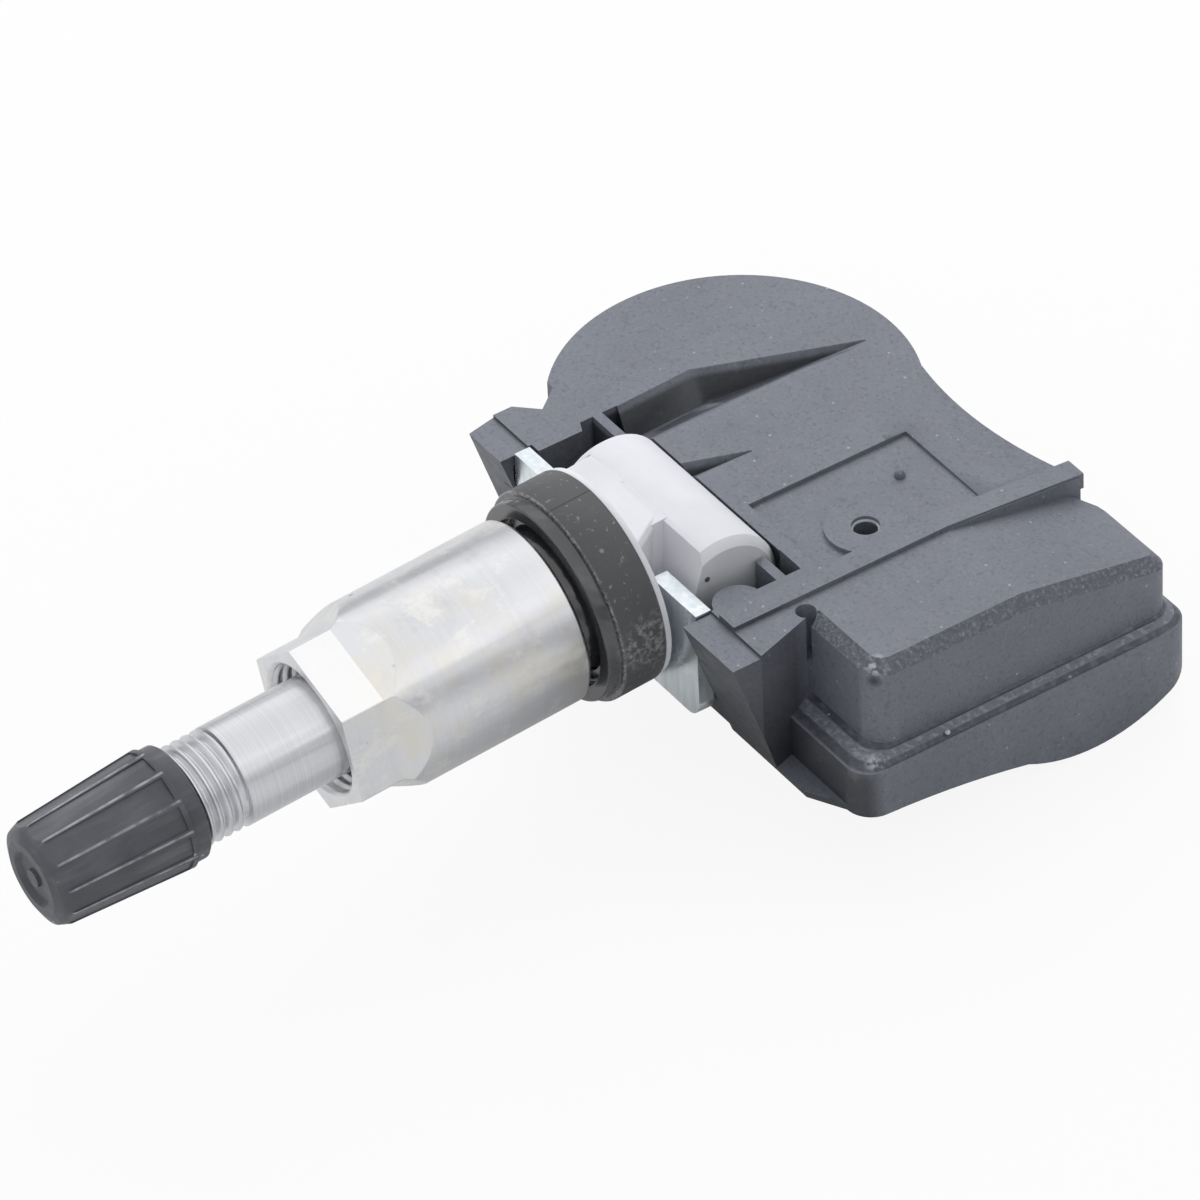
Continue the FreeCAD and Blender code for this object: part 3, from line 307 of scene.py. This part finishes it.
def housing_plastic():
    """Glass-filled nylon: dark blue-grey with a fine grain, rough along its bevelled rims and its ledge, with
    painted shade low on its front and in its grooves.
    """
    m = Material("housing_plastic")
    level = m.housing_level()
    x, y, z = m.axes(level)
    upward = m.facing()[2]
    coarse = m.noise(3300, 4, 0.65)

    base = m.ramp(m.noise(110, 4), (0.3, (0.120, 0.130, 0.156)), (0.7, (0.142, 0.153, 0.181)))
    fibres = m.layer(base, (0.205, 0.22, 0.255), m.span(m.noise(3600, 3), 0.54, 0.72, 0.0, 0.40))
    pitted = m.layer(fibres, (0.055, 0.06, 0.075), m.span(m.noise(2900, 2), 0.46, 0.30, 0.0, 0.45))

    # The chamfered rim of the box
    above_ledge = m.span(z, -3.2 * MM, -2.8 * MM)
    on_box = m.span(x, 12.5 * MM, 13.5 * MM)
    rim = m.product(m.band(upward, 0.45, 0.90, 0.06), above_ledge, on_box)
    dark_rim = m.layer(pitted, (0.050, 0.056, 0.072), rim, m.span(coarse, 0.62, 0.42, 0.1, 0.75))
    pale_rim = m.layer(dark_rim, (0.27, 0.285, 0.32), rim, m.span(coarse, 0.58, 0.72, 0.0, 0.7))

    # The ledge above the skirt, with a dark rough line along either side
    ledge = m.product(m.span(x, 13.5 * MM, 14.0 * MM), m.span(upward, 0.25, 0.4))
    upper_line = m.band(z, -5.16 * MM, -5.02 * MM, 0.05 * MM)
    lower_line = m.band(z, -5.66 * MM, -5.50 * MM, 0.05 * MM)
    lines = m.product(m.math("MAXIMUM", upper_line, lower_line), ledge)
    broken = m.span(m.noise(1500, 3), 0.30, 0.55, 0.35, 0.95)
    lined = m.layer(pale_rim, (0.038, 0.042, 0.054), lines, broken)
    between_lines = m.band(z, -5.44 * MM, -5.24 * MM, 0.04 * MM)
    rubbed = m.span(m.noise(2300, 2), 0.50, 0.62)
    ledged = m.layer(lined, (0.28, 0.295, 0.33), between_lines, ledge, rubbed, 0.6)

    # Dust, pale patches on the corners of the rim and the skirt, and a dark spot just below the rim's corner
    dust = m.product(m.span(m.cells(1100), 0.15, 0.07), m.span(m.noise(650, 2), 0.52, 0.60))
    dusty = m.layer(ledged, (0.50, 0.51, 0.53), dust, 0.45)
    rim_corner = m.spot(level, (21.6, 3.0, 1.3), 0.5, 1.0)
    skirt_corner = m.spot(level, (23.4, 1.4, -5.2), 0.4, 0.9)
    corners = m.math("MAXIMUM", rim_corner, skirt_corner)
    pale_cornered = m.layer(dusty, (0.42, 0.43, 0.45), corners, m.span(m.noise(1900, 3), 0.45, 0.6))
    dark_spotted = m.layer(pale_cornered, (0.020, 0.022, 0.028), m.spot(level, (21.9, 2.6, 0.6), 0.25, 0.7))

    # Painted shade on the front, darker the lower it is
    shade = m.ramp(m.span(z, -7.5 * MM, -0.5 * MM), (0.0, (0.22, 0.22, 0.22)), (1.0, (0.55, 0.55, 0.55)))
    front_shade_mask = m.product(m.span(y, 1.6 * MM, 0.4 * MM), m.span(upward, 0.4, 0.2))
    front_shaded = m.multiplied(dark_spotted, shade, front_shade_mask)

    # The rough strip along the foot of the long groove, with a rough bump and a dark colour of painted shade,
    # and painted shade on the walls of both grooves
    from_strip = m.math("SUBTRACT", x, m.product(y, 0.0766))
    along_strip = m.band(y, 4.0 * MM, 21.0 * MM, 1.5 * MM)
    strip = m.product(m.band(from_strip, -10.0 * MM, -9.3 * MM, 0.15 * MM), along_strip)
    scored_and_shaded = m.layer(front_shaded, (0.035, 0.038, 0.050), strip, m.span(coarse, 0.40, 0.62, 0.25, 1.0), 0.62)
    groove_across = m.band(x, -15.0 * MM, -2.5 * MM, 0.2 * MM)
    groove_along = m.band(y, 2.4 * MM, 24.5 * MM, 0.3 * MM)
    groove_wall_shade = m.product(m.span(upward, 0.93, 0.80), m.span(z, 1.62 * MM, 1.3 * MM))
    colour = m.layer(scored_and_shaded, (0.016, 0.018, 0.023), groove_across, groove_along, groove_wall_shade, 0.84)

    fine = m.bump(m.noise(5200, 3), 0.30, 0.00005)
    grain = m.bump(m.noise(1500, 4), 0.30, 0.00009, fine)
    roughened = m.bump(m.product(m.math("MAXIMUM", rim, strip), coarse), 0.7, 0.0002, grain)
    normal = m.bump(m.product(lines, -1.0), 0.6, 0.0001, roughened)
    roughness = m.span(m.noise(800, 3), 0.3, 0.7, 0.42, 0.56)
    m.shader.inputs["Specular IOR Level"].default_value = 0.75
    return m.finish(colour, roughness, normal)


def plain_plastic(name, dark, light, scale, rough_low, rough_high, grain=0.00004):
    """A moulded plastic of one colour with faint clouding and a fine grain."""
    m = Material(name)
    colour = m.ramp(m.noise(scale, 3), (0.35, dark), (0.65, light))
    normal = m.bump(m.noise(scale * 9, 3), 0.3, grain)
    roughness = m.span(m.noise(scale * 2, 3), 0.3, 0.7, rough_low, rough_high)
    return m.finish(colour, roughness, normal)


def cap_plastic():
    """The dust cap's grey-black plastic, dusty on its flats and rubbed bright along its ridges."""
    m = Material("cap_plastic")
    x, y, z = m.axes()
    cloud = m.noise(260, 4)
    base = m.ramp(cloud, (0.3, (0.052, 0.055, 0.064)), (0.7, (0.088, 0.093, 0.105)))
    streak = m.noise(900, 4, place=m.stretched((1.0, 0.12, 1.0)))
    streaked = m.layer(base, (0.17, 0.18, 0.195), m.span(streak, 0.48, 0.75, 0.0, 0.5))
    dust = m.product(m.span(m.cells(700), 0.14, 0.07), m.span(m.noise(900, 1), 0.54, 0.62))
    dusty = m.layer(streaked, (0.5, 0.5, 0.5), dust, 0.7)

    # The ridges lie halfway between whole steps. The added whole steps keep the fraction positive.
    steps = m.math("ADD", m.math("DIVIDE", m.math("ARCTAN2", z, x), RIDGE_STEP), 24.0)
    off_ridge = m.math("ABSOLUTE", m.math("SUBTRACT", m.math("FRACT", steps), 0.5))
    grip = m.band(m.math("SUBTRACT", SWIVEL.y, y), GRIP_START, GRIP_END, 0.2 * MM)
    worn = m.span(m.noise(700, 3), 0.35, 0.6, 0.15, 1.0)
    colour = m.layer(dusty, (0.40, 0.41, 0.43), m.span(off_ridge, 0.055, 0.025), grip, worn, 0.8)
    normal = m.bump(m.noise(2600, 3), 0.35, 0.00006)
    roughness = m.span(cloud, 0.3, 0.7, 0.40, 0.58)
    return m.finish(colour, roughness, normal)


def turned_metal(name, dark, light, rings, rough):
    """Turned metal with fine rings round the valve's axis."""
    m = Material(name)
    ring = m.noise(1.0, 2, place=m.stretched((25, rings, 25)))
    colour = m.ramp(ring, (0.3, dark), (0.7, light))
    normal = m.bump(ring, 0.35, 0.000012)
    roughness = m.span(m.noise(300, 4), 0.3, 0.7, rough - 0.06, rough + 0.08)
    return m.finish(colour, roughness, normal, metallic=1.0)


def nut_aluminium():
    """The nut's satin metal: yellowish stains, pale blotches, small dark pits and a painted highlight on the
    upper flat.
    """
    m = Material("nut_aluminium")
    y = m.axes()[1]
    ring = m.noise(1.0, 2, place=m.stretched((25, 2600, 25)))
    base = m.ramp(ring, (0.3, (0.735, 0.74, 0.755)), (0.7, (0.775, 0.78, 0.795)))
    blotch = m.noise(420, 5, 0.7, place=m.stretched((1.0, 0.75, 1.0)))
    pale = m.layer(base, (0.90, 0.89, 0.85), m.span(blotch, 0.52, 0.62, 0.0, 0.75))
    stained = m.layer(pale, (0.78, 0.74, 0.62), m.span(m.noise(170, 4, 0.6), 0.54, 0.68, 0.0, 0.5))
    dull = m.layer(stained, (0.56, 0.57, 0.60), m.span(m.noise(260, 5, 0.7), 0.55, 0.70, 0.0, 0.45))
    # Painted highlight: the hexagon's upper flat, which faces the light from above, is painted near white
    on_hexagon = m.span(y, -15.5 * MM, -16.5 * MM)
    painted_top_highlight = m.layer(dull, (0.99, 0.99, 0.98), m.span(m.facing()[2], 0.88, 0.93), on_hexagon, 0.9)
    pit = m.product(m.span(m.cells(430), 0.12, 0.05), m.span(m.noise(300, 2), 0.56, 0.62))
    colour = m.layer(painted_top_highlight, (0.20, 0.20, 0.21), pit, 0.8)
    normal = m.bump(m.math("SUBTRACT", m.product(ring, 0.4), pit), 0.3, 0.00001)
    satin = m.span(m.noise(300, 4), 0.3, 0.7, 0.27, 0.38)
    roughness = m.math("ADD", satin, m.span(blotch, 0.52, 0.62, 0.0, 0.12))
    return m.finish(colour, roughness, normal, metallic=1.0)


def valve_aluminium():
    """The stem: matt, near-white blasted metal from the flange back, and turned metal on the shank."""
    m = Material("aluminium")
    y = m.axes()[1]
    blasted = m.span(y, BLASTED_FROM, BLASTED_FULL)
    on_shank = m.span(y, BLASTED_FULL, BLASTED_FROM)
    ring = m.noise(1.0, 2, place=m.stretched((25, 5200, 25)))
    turned = m.ramp(ring, (0.3, (0.66, 0.67, 0.69)), (0.7, (0.76, 0.765, 0.78)))
    matt = m.ramp(m.noise(260, 4), (0.3, (0.645, 0.65, 0.68)), (0.7, (0.70, 0.705, 0.73)))
    colour = m.mix(blasted, turned, matt)
    fine = m.bump(m.noise(4200, 3), 0.18, 0.00003)
    normal = m.bump(m.product(ring, on_shank), 0.25, 0.000007, fine)
    m.link(m.span(blasted, 0.0, 1.0, 1.0, 0.12), m.shader.inputs["Metallic"])
    roughness = m.span(blasted, 0.0, 1.0, 0.34, 0.62)
    return m.finish(colour, roughness, normal)


def seal_rubber():
    """Black rubber: a dull dusty body with its mould's parting line, and a smooth glossy lip."""
    m = Material("seal_rubber")
    x, y, z = m.axes()
    cloud = m.noise(420, 4)
    body = m.span(y, SEAL_BODY_FROM, SEAL_BODY_FULL)
    outer = m.product(body, m.band(m.math("ABSOLUTE", m.facing()[1]), -1.0, 0.6, 0.1))

    base = m.ramp(cloud, (0.3, (0.030, 0.031, 0.034)), (0.75, (0.058, 0.059, 0.063)))
    dull = m.layer(base, (0.072, 0.073, 0.077), outer, 0.9)
    dust = m.product(m.span(m.cells(900), 0.22, 0.10), m.span(m.noise(500, 1), 0.52, 0.62))
    dusty = m.layer(dull, (0.36, 0.36, 0.36), dust, outer, 0.6)
    parting = m.product(m.band(x, 0.26 * MM, 0.34 * MM, 0.04 * MM), m.span(z, 0.0, 1.0 * MM))
    parted = m.layer(dusty, (0.012, 0.012, 0.013), parting, outer, 0.75)
    crumbed = m.layer(parted, (0.30, 0.30, 0.31), m.span(m.noise(2400, 2), 0.64, 0.71), outer, 0.5)
    smudge = m.product(m.spot(m.place, SMUDGE, *SMUDGE_RADII), m.span(m.noise(2100, 4, 0.65), 0.46, 0.62))
    smeared = m.layer(crumbed, (0.40, 0.40, 0.40), smudge, 0.5)
    front_edge = m.band(y, 1.02 * MM, 1.12 * MM, 0.04 * MM)
    colour = m.layer(smeared, (0.33, 0.33, 0.34), front_edge, m.span(m.noise(3200, 3), 0.40, 0.62), 0.55)

    normal = m.bump(m.product(m.noise(3000, 3), body), 0.35, 0.00005)
    m.link(m.span(body, 0.0, 1.0, 1.0, 0.5), m.shader.inputs["Specular IOR Level"])
    roughness = m.math("ADD", m.span(cloud, 0.3, 0.7, 0.14, 0.20), m.product(body, 0.36))
    return m.finish(colour, roughness, normal)


def brushed_metal(name, dark, light, rough):
    """Plated or brushed sheet with fine streaks along Z."""
    m = Material(name)
    streak = m.noise(1800, 3, place=m.stretched((1.0, 1.0, 0.08)))
    colour = m.ramp(streak, (0.3, dark), (0.7, light))
    normal = m.bump(streak, 0.25, 0.00001)
    roughness = m.span(m.noise(300, 3), 0.3, 0.7, rough - 0.05, rough + 0.08)
    return m.finish(colour, roughness, normal, metallic=1.0)


MATERIALS = {
    "aluminium": valve_aluminium(),
    "nut_aluminium": nut_aluminium(),
    "seal_rubber": seal_rubber(),
    "cap_plastic": cap_plastic(),
    "housing_plastic": housing_plastic(),
    "zinc_steel": brushed_metal("zinc_steel", (0.72, 0.78, 0.81), (0.93, 0.98, 0.99), 0.30),
    "brass": turned_metal("brass", (0.62, 0.45, 0.18), (0.75, 0.58, 0.27), 4000, 0.3),
    "spring_steel": brushed_metal("spring_steel", (0.55, 0.55, 0.56), (0.68, 0.68, 0.69), 0.3),
    "board_laminate": plain_plastic("board_laminate", (0.02, 0.12, 0.05), (0.03, 0.17, 0.07), 300, 0.3, 0.4),
    "chip_plastic": plain_plastic("chip_plastic", (0.02, 0.02, 0.022), (0.035, 0.035, 0.037), 500, 0.5, 0.6),
    "crystal_can": brushed_metal("crystal_can", (0.6, 0.6, 0.58), (0.74, 0.74, 0.71), 0.25),
    "ferrite": plain_plastic("ferrite", (0.04, 0.04, 0.045), (0.07, 0.07, 0.075), 700, 0.6, 0.75),
    "copper": turned_metal("copper", (0.60, 0.26, 0.13), (0.76, 0.38, 0.22), 9000, 0.3),
    "membrane_film": plain_plastic("membrane_film", (0.72, 0.72, 0.69), (0.84, 0.84, 0.82), 900, 0.7, 0.8),
    "port_edge": plain_plastic("port_edge", (0.30, 0.32, 0.36), (0.48, 0.50, 0.54), 900, 0.35, 0.45),
    "dark_mark": plain_plastic("dark_mark", (0.05, 0.05, 0.055), (0.09, 0.09, 0.095), 900, 0.5, 0.6),
}


def dress_frame():
    """Gives each CAD node the material of its slot and rounds the sharp edges a little."""
    for part in frame["record"]["subparts"]:
        node = nodes[part["node"]]
        node.data.materials.clear()
        node.data.materials.append(MATERIALS[part["material_slot"]])
        width = EDGE_WIDTHS.get(part["node"])
        if width:
            soften(node, width * MM)


def soften(piece, width, segments=2):
    """Rounds every sharp edge."""
    weld = piece.modifiers.new("weld", "WELD")
    weld.merge_threshold = WELD_DISTANCE
    bevel = piece.modifiers.new("rounded_edges", "BEVEL")
    bevel.width = width
    bevel.segments = segments
    bevel.limit_method = "ANGLE"
    bevel.angle_limit = SHARP_ANGLE
    bevel.use_clamp_overlap = True
    bevel.harden_normals = True


def new_piece(name, mesh_data, material, body, smooth=True):
    """A mesh piece that rides on a body."""
    mesh = bpy.data.meshes.new(name)
    mesh_data.to_mesh(mesh)
    mesh_data.free()
    mesh.polygons.foreach_set("use_smooth", [smooth] * len(mesh.polygons))
    mesh.update()
    piece = bpy.data.objects.new(name, mesh)
    bpy.context.collection.objects.link(piece)
    mesh.materials.append(MATERIALS[material])
    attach(piece, body)
    return piece


def thread(name, radius, depth, start, end, material, body, inside=False):
    """A helical thread along -Y, as one band of a rounded tooth wound round the valve's axis."""
    count = int((end - start) / THREAD_PITCH * THREAD_STEPS)
    mesh = bmesh.new()
    rows = []
    for step in range(count + 1):
        angle = 2 * math.pi * step / THREAD_STEPS
        fade = min(1.0, step / THREAD_FADE_STEPS, (count - step) / THREAD_FADE_STEPS)
        along = start + THREAD_PITCH * step / THREAD_STEPS
        row = []
        for offset, height in THREAD_PROFILE:
            rise = depth * height * fade - THREAD_SINK
            reach = radius - rise if inside else radius + rise
            y = SWIVEL.y - along - offset * THREAD_PITCH * THREAD_TOOTH_SHARE
            row.append(mesh.verts.new((reach * math.cos(angle), y, reach * math.sin(angle))))
        rows.append(row)
    for before, after in zip(rows, rows[1:]):
        for i in range(len(THREAD_PROFILE) - 1):
            mesh.faces.new((before[i], before[i + 1], after[i + 1], after[i]))
    bmesh.ops.recalc_face_normals(mesh, faces=mesh.faces)
    new_piece(name, mesh, material, body)


def housed(x, y, z):
    """A place given in millimetres in the housing's level frame, in the object's frame at rest."""
    return SWIVEL + Matrix.Rotation(REST_TILT, 3, "X") @ (Vector((x, y, z)) * MM)


def lofted_piece(name, sections, material, body):
    """A closed solid through sections of equally many points, each given in millimetres from the swivel."""
    mesh = bmesh.new()
    rings = [[mesh.verts.new(SWIVEL + Vector(point) * MM) for point in section] for section in sections]
    for before, after in zip(rings, rings[1:]):
        for i in range(len(before)):
            k = (i + 1) % len(before)
            mesh.faces.new((before[i], before[k], after[k], after[i]))
    mesh.faces.new(rings[0])
    mesh.faces.new(tuple(reversed(rings[-1])))
    bmesh.ops.recalc_face_normals(mesh, faces=mesh.faces)
    piece = new_piece(name, mesh, material, body, smooth=False)
    soften(piece, FILLING_EDGE, 3)


def neck_shoulders():
    """The neck's flare towards the flange, and the shallow flat left of it that the head runs on into."""
    flare = [
        [
            (FLARE_LEFT, y, FLARE_LOW),
            (FLARE_LEFT, y, top),
            (right - 0.4, y, top),
            (right - 0.05, y, top - 0.4),
            (right, y, FLARE_LOW),
        ]
        for y, top, right in FLARE_SECTIONS
    ]
    lofted_piece("neck_flare", flare, "aluminium", "valve")
    flat = [
        [
            (FLAT_LEFT, y, FLAT_LOW),
            (FLAT_LEFT, y, top),
            (FLAT_RIGHT, y, top + FLAT_RISE),
            (FLAT_RIGHT, y, FLAT_LOW),
        ]
        for y, top in FLAT_SECTIONS
    ]
    lofted_piece("neck_flat", flat, "aluminium", "valve")


def ring_mark(name, centre, radius, thick, material, body, slot):
    """A thin round bead lying level on the housing, in millimetres."""
    steps = 40
    corners = 8
    mesh = bmesh.new()
    rows = []
    for i in range(steps):
        around = 2 * math.pi * i / steps
        row = []
        for k in range(corners):
            across = 2 * math.pi * k / corners
            reach = radius + thick * math.cos(across)
            offset = (reach * math.cos(around), reach * math.sin(around), thick * math.sin(across))
            row.append(mesh.verts.new(housed(*(c + o for c, o in zip(centre, offset)))))
        rows.append(row)
    for i in range(steps):
        following = rows[(i + 1) % steps]
        for k in range(corners):
            n = (k + 1) % corners
            mesh.faces.new((rows[i][k], rows[i][n], following[n], following[k]))
    bmesh.ops.recalc_face_normals(mesh, faces=mesh.faces)
    new_piece(name, mesh, material, body)


def dome(name, centre, radius, height, direction, material, body, slot):
    """A low round pip, with its centre in the object's frame and its other sizes in millimetres."""
    mesh = bmesh.new()
    bmesh.ops.create_uvsphere(mesh, u_segments=16, v_segments=10, radius=1.0)
    turn = Vector(direction).to_track_quat("Z", "Y").to_matrix().to_4x4()
    shape = Matrix.Diagonal((radius * MM, radius * MM, height * MM, 1))
    bmesh.ops.transform(mesh, matrix=Matrix.Translation(centre) @ turn @ shape, verts=mesh.verts)
    new_piece(name, mesh, material, body)


def small_marks():
    """The pressure port's rim, the moulding's gate mark, a nub on the ledge and a pip on the valve's head."""
    plastic = ("housing", "housing_plastic")
    ring_mark("port_rim", (9.3, 10.9, 1.62), 1.0, 0.12, "port_edge", *plastic)
    dome("gate_pip", housed(5.95, 16.3, 1.66), 0.42, 0.6, (0, 0, 1), "housing_plastic", *plastic)
    dome("ledge_nub", housed(23.9, 7.3, -5.35), 0.2, 0.26, (0.6, 0, 0.8), "port_edge", *plastic)
    head_end = SWIVEL + Vector((7.6, -1.41, 2.29)) * MM
    dome("head_pip", head_end, 0.22, 0.12, (1, 0, 0), "dark_mark", "valve", "aluminium")


def set_camera():
    """The photograph's camera."""
    camera = bpy.data.objects.new("camera", bpy.data.cameras.new("camera"))
    bpy.context.collection.objects.link(camera)
    camera.data.lens = LENS_MM
    camera.data.sensor_width = SENSOR_MM
    camera.data.clip_start = 0.01
    camera.data.clip_end = 10
    aim = CAMERA_RIGHT * CAMERA_AIM_RIGHT + CAMERA_UP * CAMERA_AIM_UP
    place = SWIVEL + aim + CAMERA_BACK * CAMERA_DISTANCE
    turn = Matrix((CAMERA_RIGHT, CAMERA_UP, CAMERA_BACK)).transposed()
    camera.matrix_world = Matrix.Translation(place) @ turn.to_4x4()
    bpy.context.scene.camera = camera


def add_floor():
    """A pale floor, which glows for the eye so that only the shadow shows on it."""
    mesh = bmesh.new()
    bmesh.ops.create_grid(mesh, x_segments=1, y_segments=1, size=FLOOR_SIZE)
    floor_mesh = bpy.data.meshes.new("floor")
    mesh.to_mesh(floor_mesh)
    mesh.free()
    floor = bpy.data.objects.new("floor", floor_mesh)
    bpy.context.collection.objects.link(floor)
    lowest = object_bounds()[0][2]
    floor.location = (0, 0, lowest - FLOOR_GAP)

    m = Material("floor")
    m.shader.inputs["Base Color"].default_value = FLOOR_GREY
    m.shader.inputs["Roughness"].default_value = 1.0
    glow = m.node("ShaderNodeEmission")
    glow.inputs["Color"].default_value = (1, 1, 1, 1)
    seen = m.node("ShaderNodeLightPath").outputs["Is Camera Ray"]
    mix = m.node("ShaderNodeMixShader")
    m.link(m.product(seen, FLOOR_GLOW), mix.inputs["Fac"])
    m.link(m.shader.outputs["BSDF"], mix.inputs[1])
    m.link(glow.outputs["Emission"], mix.inputs[2])
    m.link(mix.outputs["Shader"], m.tree.nodes["Material Output"].inputs["Surface"])
    floor.data.materials.append(m.material)


def add_surround():
    """The room: even light on matt surfaces, a dark horizon in mirroring ones, and white to the eye."""
    world = bpy.data.worlds.new("surround")
    bpy.context.scene.world = world
    world.use_nodes = True
    shaders = world.node_tree.nodes
    links = world.node_tree.links

    matt = shaders["Background"]
    matt.inputs["Color"].default_value, matt.inputs["Strength"].default_value = MATT_ROOM
    mirrored = shaders.new("ShaderNodeBackground")
    mirrored.inputs["Strength"].default_value = 1.0
    white = shaders.new("ShaderNodeBackground")
    white.inputs["Strength"].default_value = 1.0

    direction = shaders.new("ShaderNodeSeparateXYZ")
    links.new(shaders.new("ShaderNodeTexCoord").outputs["Generated"], direction.inputs["Vector"])
    ramp = shaders.new("ShaderNodeValToRGB")
    elements = ramp.color_ramp.elements
    for position, level in ROOM_LEVELS:
        elements.new(position).color = (level, level, level * ROOM_BLUENESS, 1)
    elements[0].color = ROOM_BELOW
    elements[-1].color = ROOM_ABOVE
    links.new(direction.outputs["Z"], ramp.inputs["Fac"])
    links.new(ramp.outputs["Color"], mirrored.inputs["Color"])

    path = shaders.new("ShaderNodeLightPath")
    surround = matt.outputs["Background"]
    for ray, seen in (("Is Glossy Ray", mirrored), ("Is Camera Ray", white)):
        mix = shaders.new("ShaderNodeMixShader")
        links.new(path.outputs[ray], mix.inputs["Fac"])
        links.new(surround, mix.inputs[1])
        links.new(seen.outputs["Background"], mix.inputs[2])
        surround = mix.outputs["Shader"]
    links.new(surround, shaders["World Output"].inputs["Surface"])


def add_soft_box():
    """One large soft box above and behind on the left, which lights but isn't mirrored."""
    light = bpy.data.lights.new("back_left_box", "AREA")
    light.shape = "RECTANGLE"
    light.size = SOFT_BOX_SIDE
    light.size_y = SOFT_BOX_SIDE
    light.energy = SOFT_BOX_POWER
    lamp = bpy.data.objects.new("back_left_box", light)
    bpy.context.collection.objects.link(lamp)
    lamp.location = SOFT_BOX_PLACE
    lamp.rotation_euler = (SOFT_BOX_AIM - SOFT_BOX_PLACE).to_track_quat("-Z", "Y").to_euler()
    lamp.visible_glossy = False


bpy.context.scene.view_settings.view_transform = "Standard"
dress_frame()
thread(
    "cap_thread",
    THREAD_ROOT,
    THREAD_CREST - THREAD_ROOT,
    THREAD_START,
    THREAD_END,
    "aluminium",
    "valve",
)
thread(
    "nut_inner_thread",
    NUT_BORE + NUT_THREAD_CLEARANCE,
    NUT_THREAD_DEPTH,
    NUT_THREAD_START,
    NUT_THREAD_END,
    "nut_aluminium",
    "nut",
    inside=True,
)
neck_shoulders()
small_marks()
set_camera()
add_floor()
add_surround()
add_soft_box()
